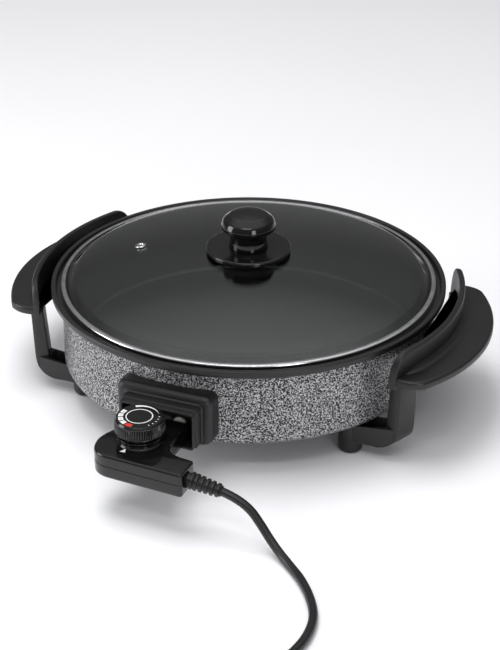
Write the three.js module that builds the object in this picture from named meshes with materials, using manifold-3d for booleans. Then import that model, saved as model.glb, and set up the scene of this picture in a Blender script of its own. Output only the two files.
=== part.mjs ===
// Round electric griddle with a glass lid and a plug-in thermostat control.
// Millimetres, +Z up. The control plugs in from -Y and the two handles are at +X and -X.
import * as THREE from 'three'
import { mergeVertices } from 'three/addons/utils/BufferGeometryUtils.js'
import Module from 'manifold-3d'

const wasm = await Module()
wasm.setup()

// ---- driving dimensions ----
const GAP = 0.3 // clearance between neighbouring pieces
const PAN_SHIFT_Y = 45 // moves the pan axis so that the origin is under the middle of the object
const TURNS = 60 // facets round the large turned pieces

const RIM_R = 200
const RIM_TOP = 119
const RIM_BOTTOM = 106
const LEDGE_R = 194.6
const LEDGE_Z = 113.5
const WALL_TOP_R = 189.4
const WALL_LOW_R = 190.4
const CORNER_R = 9
const CORNER_Z = 42
const PAN_BOTTOM = 33
const PAN_FLOOR = 37
const WALL = 4

const FOOT_X = 144.5
const FOOT_Y = 92
const FOOT_R = 12
const BOSS_R = 7.5
const BOSS_BOTTOM = 24.3

const SHELF_BOTTOM = 86.5
const SHELF_TOP = 95.5
const SHIELD_IN = 213.3
const SHIELD_OUT = 219.3
const SHIELD_TOP = 120

const BAND_OUT = 190.2
const BAND_BOTTOM = 113.9
const BAND_TOP = 120.3
const GLASS_R = 189
const GLASS_RIM_BOTTOM = 115
const GLASS_RIM_TOP = 119.2
const GLASS_T = 4
const DOME_R = 172
const DOME_EDGE_Z = 126.5
const DOME_TOP = 147.2
const VENT = [-112.5, -16.7]

const DISC_R = 43
const DISC_TOP = 152.2
const KNOB_BOTTOM = 152.5
const KNOB_TOP = 188.5

const BLOCK_X = -3
const BLOCK_HALF_W = 48.5
const BLOCK_LOW = 41
const BLOCK_HIGH = 92.5
const BLOCK_FRONT = -203
const COLLAR_X = -2.2
const COLLAR_HALF_W = 38.5
const COLLAR_LOW = 44
const COLLAR_HIGH = 84.5
const COLLAR_FRONT = -220
const MOUTH_HALF_W = 35
const MOUTH_LOW = 47.8
const MOUTH_HIGH = 81
const BACKPLATE_FRONT = -200.6
const BACKPLATE_BACK = -198.2

const PIN_X = 14
const PIN_Z = 59.5
const ELEMENT_R = 3.5
const ELEMENT_Z = 29.2
const ELEMENT_LOOP_R = 112
const ELEMENT_RISER_Y = -194.4

const NOSE_END = -204
const NOSE_HALF_W = 25
const BODY_LOW = 42
const BODY_HIGH = 66
const SEAM_Z = 54.5
const SHELL_T = 2.4
const DIAL_X = -4.5
const DIAL_Y = -248
const DIAL_LOW = 76
const DIAL_HIGH = 90

const CORD_R = 4
const CORD_EXIT = [55.3, -274, 53]
const CORD_START = [86.5, -272.4, 47]
const COIL_X = 245
const COIL_Y = -467
const COIL_IN = 31
const COIL_OUT = 56
const COIL_LOW = 1.6
const COIL_HIGH = 9.9

// ---- materials ----
function paint(color, roughness, metalness, extra = {}) {
  return new THREE.MeshStandardMaterial({ color, roughness, metalness, ...extra })
}

const PAN_COAT = paint(0x55575b, 0.45, 0.4)
const BLACK_MATT = paint(0x1d1d1f, 0.55, 0)
const BLACK_GLOSS = paint(0x0d0d0f, 0.15, 0)
const STEEL = paint(0xc9cacc, 0.25, 1)
const BRASS = paint(0xc2a35a, 0.3, 1)
const CERAMIC = paint(0xe6e2d8, 0.6, 0)
const SILICONE = paint(0xb9b9b4, 0.7, 0)
const GLASS = paint(0xb9c3c6, 0.05, 0, { transparent: true, opacity: 0.35 })
const SHEATH = paint(0x6a6764, 0.5, 0.8)
const RUBBER = paint(0x2a2a2c, 0.7, 0)

// ---- solid helpers ----
function solid(geometry) {
  const bare = geometry.index ? geometry.toNonIndexed() : geometry.clone()
  for (const name of Object.keys(bare.attributes)) {
    if (name !== 'position') bare.deleteAttribute(name)
  }
  const merged = mergeVertices(bare, 1e-4)
  const index = merged.index.array
  const kept = []
  for (let i = 0; i < index.length; i += 3) {
    const [a, b, c] = [index[i], index[i + 1], index[i + 2]]
    if (a !== b && b !== c && c !== a) kept.push(a, b, c)
  }
  const at = merged.attributes.position
  let volume = 0
  const [p, q, r] = [new THREE.Vector3(), new THREE.Vector3(), new THREE.Vector3()]
  for (let i = 0; i < kept.length; i += 3) {
    p.fromBufferAttribute(at, kept[i])
    q.fromBufferAttribute(at, kept[i + 1])
    r.fromBufferAttribute(at, kept[i + 2])
    volume += p.dot(q.cross(r))
  }
  if (volume < 0) {
    for (let i = 0; i < kept.length; i += 3) [kept[i], kept[i + 1]] = [kept[i + 1], kept[i]]
  }
  return new wasm.Manifold(
    new wasm.Mesh({
      numProp: 3,
      vertProperties: new Float32Array(at.array),
      triVerts: new Uint32Array(kept),
    }),
  )
}

function geometryOf(manifold) {
  const mesh = manifold.getMesh()
  const geometry = new THREE.BufferGeometry()
  geometry.setAttribute('position', new THREE.BufferAttribute(new Float32Array(mesh.vertProperties), 3))
  geometry.setIndex(new THREE.BufferAttribute(new Uint32Array(mesh.triVerts), 1))
  return geometry
}

// A turned piece about the vertical line through (x, y); points are [radius, z].
function turned(points, facets = 24, x = 0, y = 0) {
  const profile = points.map(([r, z]) => new THREE.Vector2(r, z))
  profile.push(profile[0].clone())
  const geometry = new THREE.LatheGeometry(profile, facets)
  geometry.rotateX(Math.PI / 2)
  geometry.translate(x, y, 0)
  return solid(geometry)
}

// A cylinder from z0 to z1.
function post(r, z0, z1, x = 0, y = 0, facets = 16) {
  return turned([[0, z0], [r, z0], [r, z1], [0, z1]], facets, x, y)
}

// A cylinder along Y from y0 to y1.
function rodY(r, y0, y1, x, z, facets = 14) {
  const geometry = new THREE.CylinderGeometry(r, r, Math.abs(y1 - y0), facets)
  geometry.translate(x, (y0 + y1) / 2, z)
  return solid(geometry)
}

// A cylinder along X from x0 to x1.
function rodX(r, x0, x1, y, z, facets = 20) {
  const geometry = new THREE.CylinderGeometry(r, r, Math.abs(x1 - x0), facets)
  geometry.rotateZ(Math.PI / 2)
  geometry.translate((x0 + x1) / 2, y, z)
  return solid(geometry)
}

function box(x0, x1, y0, y1, z0, z1) {
  const geometry = new THREE.BoxGeometry(x1 - x0, y1 - y0, z1 - z0)
  geometry.translate((x0 + x1) / 2, (y0 + y1) / 2, (z0 + z1) / 2)
  return solid(geometry)
}

// A plan shape raised from z0 to z1 with rounded top and bottom edges.
function raised(shape, z0, z1, round = 0, segments = 2, curveSegments = 10) {
  const geometry = new THREE.ExtrudeGeometry(shape, {
    depth: z1 - z0 - 2 * round,
    bevelEnabled: round > 0,
    bevelSize: round,
    bevelThickness: round,
    bevelOffset: -round,
    bevelSegments: segments,
    curveSegments,
    steps: 1,
  })
  geometry.translate(0, 0, z0 + round)
  return geometry
}

// A shape drawn in X and Z, run along Y from y0 (front) to y1 (back).
function alongY(shape, y0, y1, round = 0, segments = 2, curveSegments = 8) {
  const geometry = raised(shape, -y1, -y0, round, segments, curveSegments)
  geometry.rotateX(Math.PI / 2)
  return solid(geometry)
}

// A shape drawn in Y and Z, run along X from x0 to x1.
function alongX(shape, x0, x1, curveSegments = 8) {
  const geometry = raised(shape, x0, x1, 0, 1, curveSegments)
  geometry.applyMatrix4(new THREE.Matrix4().set(0, 0, 1, 0, 1, 0, 0, 0, 0, 1, 0, 0, 0, 0, 0, 1))
  return solid(geometry)
}

function polygon(points) {
  return new THREE.Shape(points.map(([x, y]) => new THREE.Vector2(x, y)))
}

function roundedRect(x0, x1, y0, y1, r) {
  const shape = new THREE.Shape()
  shape.moveTo(x0 + r, y0)
  shape.lineTo(x1 - r, y0)
  shape.absarc(x1 - r, y0 + r, r, -Math.PI / 2, 0, false)
  shape.lineTo(x1, y1 - r)
  shape.absarc(x1 - r, y1 - r, r, 0, Math.PI / 2, false)
  shape.lineTo(x0 + r, y1)
  shape.absarc(x0 + r, y1 - r, r, Math.PI / 2, Math.PI, false)
  shape.lineTo(x0, y0 + r)
  shape.absarc(x0 + r, y0 + r, r, Math.PI, 1.5 * Math.PI, false)
  return shape
}

// Points of an arc in a plane, from angle a0 to a1 in degrees.
function arc(cx, cy, r, a0, a1, steps) {
  const points = []
  for (let i = 0; i <= steps; i += 1) {
    const a = ((a0 + ((a1 - a0) * i) / steps) * Math.PI) / 180
    points.push([cx + r * Math.cos(a), cy + r * Math.sin(a)])
  }
  return points
}

// A band of a ring between two radii and two angles, in plan.
function ringPart(r0, r1, a0, a1, steps) {
  return polygon([...arc(0, 0, r1, a0, a1, steps), ...arc(0, 0, r0, a1, a0, steps)])
}

// A round bar along a smooth path.
function bar(points, r, steps, sides = 8) {
  const path = new THREE.CatmullRomCurve3(points.map((p) => new THREE.Vector3(...p)), false, 'centripetal')
  const circle = polygon(arc(0, 0, r, 0, 360 - 360 / sides, sides - 1))
  return solid(new THREE.ExtrudeGeometry(circle, { steps, extrudePath: path, bevelEnabled: false }))
}

function mirrorX(manifold) {
  const geometry = geometryOf(manifold)
  geometry.scale(-1, 1, 1)
  return solid(geometry)
}

const group = new THREE.Group()

function add(name, manifold, material) {
  const geometry = geometryOf(manifold).toNonIndexed()
  geometry.translate(0, PAN_SHIFT_Y, 0)
  geometry.computeVertexNormals()
  const mesh = new THREE.Mesh(geometry, material)
  mesh.name = name
  group.add(mesh)
}

// ---- pan ----
// The outside of the dish, optionally grown by a clearance.
function dishOutside(grow = 0) {
  return [
    [0, PAN_BOTTOM - grow],
    ...arc(WALL_LOW_R - CORNER_R, CORNER_Z, CORNER_R + grow, -90, 0, 5),
    [WALL_TOP_R + grow, RIM_BOTTOM - grow],
    [RIM_R - 1.2 + grow, RIM_BOTTOM + 6 - grow],
    [RIM_R + grow, RIM_BOTTOM + 7.4 - grow],
    [RIM_R + grow, RIM_TOP - 2],
    [RIM_R - 2, RIM_TOP + grow],
    [0, RIM_TOP + grow],
  ]
}

const dishInside = turned([
  [0, PAN_FLOOR],
  ...arc(WALL_LOW_R - CORNER_R, CORNER_Z, CORNER_R - WALL, -90, 0, 4),
  [WALL_TOP_R - WALL, LEDGE_Z],
  [LEDGE_R, LEDGE_Z],
  [LEDGE_R, RIM_TOP - 1.6],
  [LEDGE_R + 2.6, RIM_TOP + 1],
  [0, RIM_TOP + 1],
], TURNS)

const FEET = [[FOOT_X, FOOT_Y], [FOOT_X, -FOOT_Y], [-FOOT_X, FOOT_Y], [-FOOT_X, -FOOT_Y]]
const SHROUD_SCREW_X = 29
const SHROUD_SCREW_Z = 75.5

let pan = turned(dishOutside(), TURNS)
for (const [x, y] of FEET) {
  pan = pan.add(post(BOSS_R, BOSS_BOTTOM, 42, x, y))
}
for (const x of [-SHROUD_SCREW_X, SHROUD_SCREW_X]) {
  pan = pan.add(rodY(4.2, BACKPLATE_BACK + GAP, -180, x, SHROUD_SCREW_Z))
}
pan = pan.subtract(dishInside)
for (const [x, y] of FEET) {
  pan = pan.subtract(post(2.3, BOSS_BOTTOM - 1, 34.5, x, y, 16))
}
for (const x of [-SHROUD_SCREW_X, SHROUD_SCREW_X]) {
  pan = pan.subtract(rodY(1.9, BACKPLATE_BACK - 2, -187.2, x, SHROUD_SCREW_Z, 16))
}
add('pan_body', pan, PAN_COAT)

// ---- heating element and its clips ----
const element = []
const leadRadius = ELEMENT_LOOP_R
element.push([-PIN_X, ELEMENT_RISER_Y, 66], [-PIN_X, ELEMENT_RISER_Y, 54], [-PIN_X, ELEMENT_RISER_Y, 43])
element.push([-PIN_X, -194, 36.2], [-PIN_X, -189.6, 30.4], [-PIN_X, -182, 28.9], [-PIN_X, -150, ELEMENT_Z])
element.push([-PIN_X - 1.5, -128, ELEMENT_Z], [-PIN_X - 12, -113, ELEMENT_Z])
for (let a = -120; a >= -420; a -= 15) {
  const t = (a * Math.PI) / 180
  element.push([leadRadius * Math.cos(t), leadRadius * Math.sin(t), ELEMENT_Z])
}
element.push([PIN_X + 12, -113, ELEMENT_Z], [PIN_X + 1.5, -128, ELEMENT_Z])
element.push([PIN_X, -150, ELEMENT_Z], [PIN_X, -182, 28.9], [PIN_X, -189.6, 30.4], [PIN_X, -194, 36.2])
element.push([PIN_X, ELEMENT_RISER_Y, 43], [PIN_X, ELEMENT_RISER_Y, 54], [PIN_X, ELEMENT_RISER_Y, 66])
add('heating_element', bar(element, ELEMENT_R, 64), SHEATH)

const CLIP_TOP = PAN_BOTTOM - GAP
const clipShape = polygon([
  [-13, CLIP_TOP],
  [-13, CLIP_TOP - 1],
  [-5.2, CLIP_TOP - 1],
  ...arc(0, ELEMENT_Z, 5, 180, 360, 8),
  [5.2, CLIP_TOP - 1],
  [13, CLIP_TOP - 1],
  [13, CLIP_TOP],
  [4.1, CLIP_TOP],
  ...arc(0, ELEMENT_Z, 3.95, 360, 180, 8),
  [-4.1, CLIP_TOP],
])
for (const [i, degrees] of [[1, 90], [2, 210], [3, 330]]) {
  const geometry = geometryOf(alongY(clipShape, -5, 5))
  geometry.translate(ELEMENT_LOOP_R, 0, 0)
  geometry.rotateZ((degrees * Math.PI) / 180)
  add(`element_clip_${i}`, solid(geometry), STEEL)
}

// ---- terminals and probe sleeve ----
for (const [side, x] of [['left', -PIN_X], ['right', PIN_X]]) {
  const pin = rodY(2, ELEMENT_RISER_Y - ELEMENT_R - GAP, -214, x, PIN_Z, 16)
  add(`terminal_pin_${side}`, pin, STEEL)
  const sleeve = rodY(6, -198.5, -201, x, PIN_Z, 24).add(rodY(7.3, -200.9, -202.9, x, PIN_Z, 24))
  add(`terminal_insulator_${side}`, sleeve.subtract(rodY(2.4, -197, -204, x, PIN_Z, 16)), CERAMIC)
}
const probeSleeve = rodY(6.2, -188, -202, 0, PIN_Z, 24)
  .add(rodY(9, -188, -193, 0, PIN_Z, 24))
  .subtract(turned(dishOutside(GAP), TURNS))
  .subtract(rodY(3.9, -188, -203, 0, PIN_Z, 20))
add('probe_sleeve', probeSleeve, paint(0xa9abad, 0.4, 1))

// ---- socket shroud ----
const blockOutline = roundedRect(BLOCK_X - BLOCK_HALF_W, BLOCK_X + BLOCK_HALF_W, BLOCK_LOW, BLOCK_HIGH, 9)
const collarOutline = roundedRect(COLLAR_X - COLLAR_HALF_W, COLLAR_X + COLLAR_HALF_W, COLLAR_LOW, COLLAR_HIGH, 3)
const mouthOutline = roundedRect(COLLAR_X + 1 - MOUTH_HALF_W, COLLAR_X + 1 + MOUTH_HALF_W, MOUTH_LOW, MOUTH_HIGH, 2)
let shroud = alongY(blockOutline, BLOCK_FRONT, -160, 5, 2, 4)
shroud = shroud.add(alongY(collarOutline, COLLAR_FRONT, BLOCK_FRONT + 4, 0.6, 1, 3))
shroud = shroud.subtract(alongY(mouthOutline, COLLAR_FRONT - 1, BACKPLATE_FRONT, 0, 1, 3))
shroud = shroud.subtract(box(-41, 41, BACKPLATE_BACK, -150, 50, 86))
shroud = shroud.subtract(box(-19, 19, BACKPLATE_BACK, -150, 40, 51))
shroud = shroud.subtract(turned(dishOutside(0.35), TURNS))
shroud = shroud.subtract(rodY(6.6, -205, -190, 0, PIN_Z, 24))
for (const x of [-PIN_X, PIN_X]) {
  shroud = shroud.subtract(rodY(6.3, -205, -190, x, PIN_Z, 24))
}
for (const x of [-SHROUD_SCREW_X, SHROUD_SCREW_X]) {
  shroud = shroud.subtract(rodY(1.9, -203, -190, x, SHROUD_SCREW_Z, 16))
}
add('socket_shroud', shroud, BLACK_MATT)

for (const [side, x] of [['left', -SHROUD_SCREW_X], ['right', SHROUD_SCREW_X]]) {
  const screw = rodY(3.2, -200.9, -203.1, x, SHROUD_SCREW_Z).add(rodY(1.5, -201, -188, x, SHROUD_SCREW_Z, 12))
  const slot = box(x - 2.4, x + 2.4, -203.6, -202.3, SHROUD_SCREW_Z - 0.5, SHROUD_SCREW_Z + 0.5)
  add(`shroud_screw_${side}`, screw.subtract(slot), STEEL)
}

// ---- handles: shield, shelf, legs, channel bars and feet in one moulding ----
function radial(r, degrees) {
  const a = (degrees * Math.PI) / 180
  return [r * Math.cos(a), r * Math.sin(a)]
}

// Leans a leg towards the pan below the shelf, its inner face more than its outer face.
function lean(geometry, middle, innerPerMm, outerPerMm) {
  const at = geometry.attributes.position
  for (let i = 0; i < at.count; i += 1) {
    const r = Math.hypot(at.getX(i), at.getY(i))
    const perMm = r < middle ? innerPerMm : outerPerMm
    const shift = perMm * Math.max(0, SHELF_BOTTOM - at.getZ(i))
    at.setXY(i, at.getX(i) * (1 - shift / r), at.getY(i) * (1 - shift / r))
  }
  return geometry
}

function handle() {
  const shelfShape = new THREE.Shape()
  const inner = arc(0, 0, SHIELD_IN + 2, -29, 29, 10)
  const outer = arc(75, 0, 176.5, 35.2, -35.2, 12)
  shelfShape.moveTo(...inner[0])
  for (const p of inner.slice(1)) shelfShape.lineTo(...p)
  shelfShape.bezierCurveTo(189.5, 109, 208, 112, ...outer[0])
  for (const p of outer.slice(1)) shelfShape.lineTo(...p)
  shelfShape.bezierCurveTo(208, -112, 189.5, -109, ...inner[0])
  let part = solid(raised(shelfShape, SHELF_BOTTOM, SHELF_TOP, 2, 2, 4))

  const shieldSide = new THREE.Shape()
  shieldSide.moveTo(-108, 84)
  shieldSide.bezierCurveTo(-107.5, 103, -103, SHIELD_TOP - 1, -91, SHIELD_TOP)
  shieldSide.lineTo(91, SHIELD_TOP)
  shieldSide.bezierCurveTo(103, SHIELD_TOP - 1, 107.5, 103, 108, 84)
  const shield = solid(raised(ringPart(SHIELD_IN, SHIELD_OUT, -34, 34, 14), 80, SHIELD_TOP + 3))
  part = part.add(shield.intersect(alongX(shieldSide, 150, 260)))
  const fillet = turned([[218, 94], [225.5, 94], [225.5, 95.4], [221.4, 97.2], [219.6, 101.5], [218, 101.5]], TURNS)
  const fan = solid(raised(polygon([[0, 0], radial(300, -25), radial(300, 25)]), 90, 110))
  part = part.add(fillet.intersect(fan))

  // everything below the shelf stays inside this bowl, which rounds the legs' lower corners
  const legBowl = turned([
    [0, 14],
    ...arc(200, 34, 20, -90, 0, 6),
    [223, SHELF_BOTTOM],
    [226, SHELF_BOTTOM + 2],
    [0, SHELF_BOTTOM + 2],
  ], 2 * TURNS)
  for (const side of [-1, 1]) {
    const [a0, a1] = side > 0 ? [21.4, 28.4] : [-28.4, -21.4]
    const legPlan = ringPart(209.5, 222, a0, a1, 3)
    let leg = solid(lean(raised(legPlan, 14, SHELF_BOTTOM + 2, 0, 1, 3), 216, 0.07, 0.03))
    const [y0, y1] = side > 0 ? [FOOT_Y - 11, FOOT_Y + 11] : [-FOOT_Y - 11, -FOOT_Y + 11]
    leg = leg.add(box(FOOT_X, 190, y0, y1, 14, 37))
    leg = leg.intersect(box(100, 230, -FOOT_Y - 11, FOOT_Y + 11, 10, 100)).intersect(legBowl)
    leg = leg.subtract(box(158, 181.5, y0 + 2.2, y1 - 2.2, 17, 40))
    part = part.add(leg)
    const foot = [[0, 0], [8.6, 0], [10.6, 0.9], [11.7, 2.6], [FOOT_R, 4.6], [FOOT_R, PAN_BOTTOM - GAP], [0, PAN_BOTTOM - GAP]]
    part = part.add(turned(foot, 24, FOOT_X, side * FOOT_Y))
  }
  for (const side of [-1, 1]) {
    part = part.subtract(post(BOSS_R + GAP, BOSS_BOTTOM - GAP, 45, FOOT_X, side * FOOT_Y, 20))
    part = part.subtract(post(4.9, -1, 14, FOOT_X, side * FOOT_Y))
    part = part.subtract(post(2.3, 13, 26, FOOT_X, side * FOOT_Y, 16))
  }
  return part.subtract(turned(dishOutside(GAP), TURNS))
}

const rightHandle = handle()
add('handle_right', rightHandle, BLACK_MATT)
add('handle_left', mirrorX(rightHandle), BLACK_MATT)

const FOOT_NAMES = ['right_back', 'right_front', 'left_back', 'left_front']
FEET.forEach(([x, y], i) => {
  const washer = post(4.5, 12.6, 13.7, x, y).subtract(post(2.2, 12, 15, x, y, 16))
  add(`foot_washer_${FOOT_NAMES[i]}`, washer, STEEL)
  const screw = turned([[0, 9], [3.2, 9], [4, 9.8], [4, 12.3], [1.9, 12.3], [1.9, 33.8], [0, 33.8]], 12, x, y)
  const cross = box(x - 2.2, x + 2.2, y - 0.5, y + 0.5, 8, 10.6).add(box(x - 0.5, x + 0.5, y - 2.2, y + 2.2, 8, 10.6))
  add(`foot_screw_${FOOT_NAMES[i]}`, screw.subtract(cross), STEEL)
})

// ---- lid ----
function domeZ(r) {
  const sag = DOME_TOP - DOME_EDGE_Z
  const sphere = (DOME_R * DOME_R + sag * sag) / (2 * sag)
  return DOME_TOP - sphere + Math.sqrt(sphere * sphere - r * r)
}

const domeTop = []
const domeUnder = []
for (const r of [DOME_R, 150, 122, 90, 54, 0]) {
  domeTop.push([r, domeZ(r)])
  domeUnder.unshift([r, domeZ(r) - GLASS_T])
}
let glass = turned([
  ...domeUnder.slice(0, -1),
  [DOME_R - 1.5, domeZ(DOME_R) - GLASS_T],
  [178.5, 118.6],
  [181.5, 115.9],
  [184, GLASS_RIM_BOTTOM],
  [GLASS_R, GLASS_RIM_BOTTOM],
  [GLASS_R, GLASS_RIM_TOP],
  [184.2, GLASS_RIM_TOP],
  [181.2, 120.9],
  [176.5, 124.4],
  ...domeTop,
], TURNS)
const [ventX, ventY] = VENT
const ventZ = domeZ(Math.hypot(ventX, ventY))
glass = glass.subtract(post(4.1, 100, 160, ventX, ventY)).subtract(post(4, 100, 160))
add('lid_glass', glass, GLASS)

const rimBand = turned([
  [184.6, BAND_BOTTOM],
  [BAND_OUT, BAND_BOTTOM],
  [BAND_OUT, BAND_TOP - 1],
  [BAND_OUT - 1.4, BAND_TOP],
  [186, BAND_TOP],
  [185.4, GLASS_RIM_TOP + GAP],
  [GLASS_R + GAP, GLASS_RIM_TOP + GAP],
  [GLASS_R + GAP, GLASS_RIM_BOTTOM - GAP],
  [184.6, GLASS_RIM_BOTTOM - GAP],
], TURNS)
add('lid_rim_band', rimBand, STEEL)

const eyelet = turned([
  [2.4, ventZ - 6.6],
  [6, ventZ - 6.6],
  [6, ventZ - 5.5],
  [3.6, ventZ - 5.5],
  [3.6, ventZ + 1.3],
  [6, ventZ + 1.3],
  [5.4, ventZ + 2.2],
  [2.4, ventZ + 2.4],
], 20, ventX, ventY)
add('vent_eyelet', eyelet, STEEL)

const disc = turned([
  [3, DOME_TOP + GAP],
  [20, DOME_TOP + GAP],
  [DISC_R, domeZ(20) + GAP],
  [DISC_R, DISC_TOP - 1.6],
  [DISC_R - 1.6, DISC_TOP],
  [3, DISC_TOP],
], 44)
add('knob_escutcheon', disc, BLACK_GLOSS)

const knob = turned([
  [0, KNOB_BOTTOM],
  [19.5, KNOB_BOTTOM],
  [18.5, 159],
  [18.5, 165],
  [21.6, 169.4],
  [26.4, 172.4],
  [27.5, 175.5],
  [26.8, 178.8],
  [24, 182.9],
  [19, 186.2],
  [11.5, 188],
  [0, KNOB_TOP],
], 36).subtract(post(2.5, 150, 172, 0, 0, 12))
add('lid_knob', knob, BLACK_GLOSS)

const underGlass = DOME_TOP - GLASS_T
const gasket = post(12, underGlass - 2.4, underGlass - 0.9, 0, 0, 24).subtract(post(3.4, 130, 150))
add('knob_gasket', gasket, SILICONE)
const knobWasher = post(10, underGlass - 4, underGlass - 2.7, 0, 0, 20).subtract(post(2.6, 130, 150, 0, 0, 16))
add('knob_washer', knobWasher, STEEL)
const knobScrew = turned([
  [0, underGlass - 7],
  [5.4, underGlass - 7],
  [5.4, underGlass - 4.3],
  [2.1, underGlass - 4.3],
  [2.1, 171],
  [0, 171],
], 14).subtract(box(-3, 3, -0.6, 0.6, underGlass - 8, underGlass - 5.6))
add('knob_screw', knobScrew, STEEL)

// ---- plug-in control ----
function controlPlan(inset) {
  const shape = new THREE.Shape()
  const n = NOSE_HALF_W - inset
  shape.moveTo(n, NOSE_END - inset)
  shape.lineTo(n, -245 - inset * 0.4)
  shape.bezierCurveTo(n + 0.6, -255 - inset, n + 8, -259.5 - inset, 42, -261 - inset)
  shape.lineTo(53.2 - inset, -262.2 - inset)
  shape.quadraticCurveTo(55 - inset, -262.6 - inset, 55 - inset, -264.6 - inset)
  shape.lineTo(55 - inset, -287 + inset)
  shape.quadraticCurveTo(55 - inset, -290 + inset, 52 - inset, -290 + inset)
  shape.lineTo(-20 + inset * 0.3, -286 + inset)
  shape.bezierCurveTo(-33 + inset, -285 + inset, -40 + inset, -277 + inset, -41 + inset, -262)
  shape.bezierCurveTo(-41.1 + inset, -254, -36 + inset, -241, -28 + inset, -232)
  shape.bezierCurveTo(-26 + inset, -228.5, -n, -224, -n, -218)
  shape.lineTo(-n, NOSE_END - inset)
  return shape
}

function controlBlock(inset, low, noseLow, high, round) {
  let block = solid(raised(controlPlan(inset), low, high, round, 2, 4))
  block = block.subtract(box(-70, 70, -241 - inset, -190, low - 5, noseLow))
  return block
}

const controlOuter = controlBlock(0, BODY_LOW, 48.4, BODY_HIGH, 1.5)
const noseRounder = box(-30, 30, NOSE_END - 6, NOSE_END + 2, BODY_HIGH - 6, BODY_HIGH + 2)
  .subtract(rodX(6, -31, 31, NOSE_END - 6, BODY_HIGH - 6, 20))
const controlInner = controlBlock(SHELL_T, BODY_LOW + SHELL_T, 48.4 + SHELL_T, BODY_HIGH - SHELL_T, 0)
const spindleHole = post(3.4, 50, 80, DIAL_X, DIAL_Y, 20)
const dialBoss = turned([
  [0, 63.5],
  [20, 63.5],
  [20, 68.6],
  [18.2, 69.4],
  [20.6, 70.6],
  [20.6, 72],
  [17.8, 72.8],
  [17.8, 75.6],
  [0, 75.6],
], 30, DIAL_X, DIAL_Y)

let control = controlOuter.subtract(noseRounder).add(dialBoss).subtract(controlInner)
control = control.subtract(post(15, 62, 73.4, DIAL_X, DIAL_Y, 20)).subtract(spindleHole)
for (const x of [-PIN_X, PIN_X]) {
  control = control.subtract(rodY(3.5, -195, -210, x, PIN_Z))
}
control = control.subtract(rodY(3.8, -195, -210, 0, PIN_Z))

// strain relief seat in the right-hand end, shared by both shells
const reliefAxis = new THREE.Vector3(...CORD_START).sub(new THREE.Vector3(...CORD_EXIT)).normalize()
function reliefPiece(points, facets = 20) {
  const profile = points.map(([r, t]) => new THREE.Vector2(r, t))
  profile.push(profile[0].clone())
  const geometry = new THREE.LatheGeometry(profile, facets)
  const turn = new THREE.Quaternion().setFromUnitVectors(new THREE.Vector3(0, 1, 0), reliefAxis)
  geometry.applyQuaternion(turn)
  geometry.translate(...CORD_EXIT)
  return solid(geometry)
}
control = control.subtract(reliefPiece([[0, -6], [6.6, -6], [6.6, 3], [0, 3]]))

const SCREWS = [[41, -276], [-30, -272]]
for (const [x, y] of SCREWS) {
  const outer = post(4.2, BODY_LOW + 1, BODY_HIGH - 1.5, x, y, 20)
  control = control.add(outer)
  control = control.subtract(post(1.9, BODY_LOW - 1, BODY_HIGH - 6, x, y, 14))
  control = control.subtract(post(3.3, BODY_LOW - 1, BODY_LOW + 3.2, x, y, 18))
}
const halfGap = 0.1
const upper = control.subtract(box(-80, 80, -320, -180, 20, SEAM_Z + halfGap))
const lower = control.subtract(box(-80, 80, -320, -180, SEAM_Z - halfGap, 120))
add('control_upper_shell', upper, BLACK_GLOSS)
add('control_lower_shell', lower, BLACK_GLOSS)

SCREWS.forEach(([x, y], i) => {
  const low = BODY_LOW + 0.4
  const screw = turned([[0, low], [2.9, low], [2.9, low + 2.5], [1.5, low + 2.5], [1.5, 59], [0, 59]], 16, x, y)
  const slot = box(x - 2.2, x + 2.2, y - 0.45, y + 0.45, low - 1, low + 1.1)
  add(`housing_screw_${i + 1}`, screw.subtract(slot), STEEL)
})

const probe = rodY(3.5, -190.2, -232, 0, PIN_Z, 20).subtract(turned(dishOutside(GAP), TURNS))
add('probe_rod', probe, STEEL)
for (const [side, x] of [['left', -PIN_X], ['right', PIN_X]]) {
  const socket = rodY(3.1, -205.6, -224, x, PIN_Z, 20).subtract(rodY(2.3, -205, -217, x, PIN_Z, 16))
  add(`terminal_socket_${side}`, socket, BRASS)
}

// thermostat inside the housing: frame plate, two contact blades and the dial spindle
let frame = box(-22, 22, -264, -244.8, 46.4, 48)
frame = frame.add(box(-22, -20.4, -262, -246, 47.9, 52.5)).add(box(20.4, 22, -262, -246, 47.9, 52.5))
add('thermostat_frame', frame, STEEL)
add('fixed_contact_blade', box(-18, 14, -245, -238, 51, 51.8).add(post(2, 51.7, 52.9, 10, -241.5, 16)), BRASS)
add('moving_contact_blade', box(-18, 14, -244.5, -238.5, 54.4, 55.2).add(post(2, 53.3, 54.5, 10, -241.5, 16)), BRASS)

let dial = turned([
  [0, DIAL_HIGH - 3],
  [20.8, DIAL_HIGH - 3],
  [21.2, DIAL_LOW],
  [22.6, DIAL_LOW],
  [22.9, DIAL_LOW + 0.6],
  [22.4, DIAL_HIGH - 1.4],
  [21.5, DIAL_HIGH],
  [0, DIAL_HIGH],
], 36, DIAL_X, DIAL_Y)
const knurl = []
for (let i = 0; i < 64; i += 1) {
  knurl.push(...arc(DIAL_X, DIAL_Y, i % 2 ? 22.5 : 23.2, (i * 360) / 64, (i * 360) / 64, 1).slice(0, 1))
}
dial = dial.add(
  solid(raised(polygon(knurl), DIAL_LOW + 1, DIAL_HIGH - 4)).subtract(post(21.8, DIAL_LOW, DIAL_HIGH, DIAL_X, DIAL_Y, 32)),
)
dial = dial.add(post(6, DIAL_LOW + 0.6, DIAL_HIGH - 2, DIAL_X, DIAL_Y, 24))
dial = dial.subtract(post(2.9, DIAL_LOW - 1, DIAL_LOW + 8, DIAL_X, DIAL_Y, 20))
add('temperature_dial', dial, BLACK_GLOSS)
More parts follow.
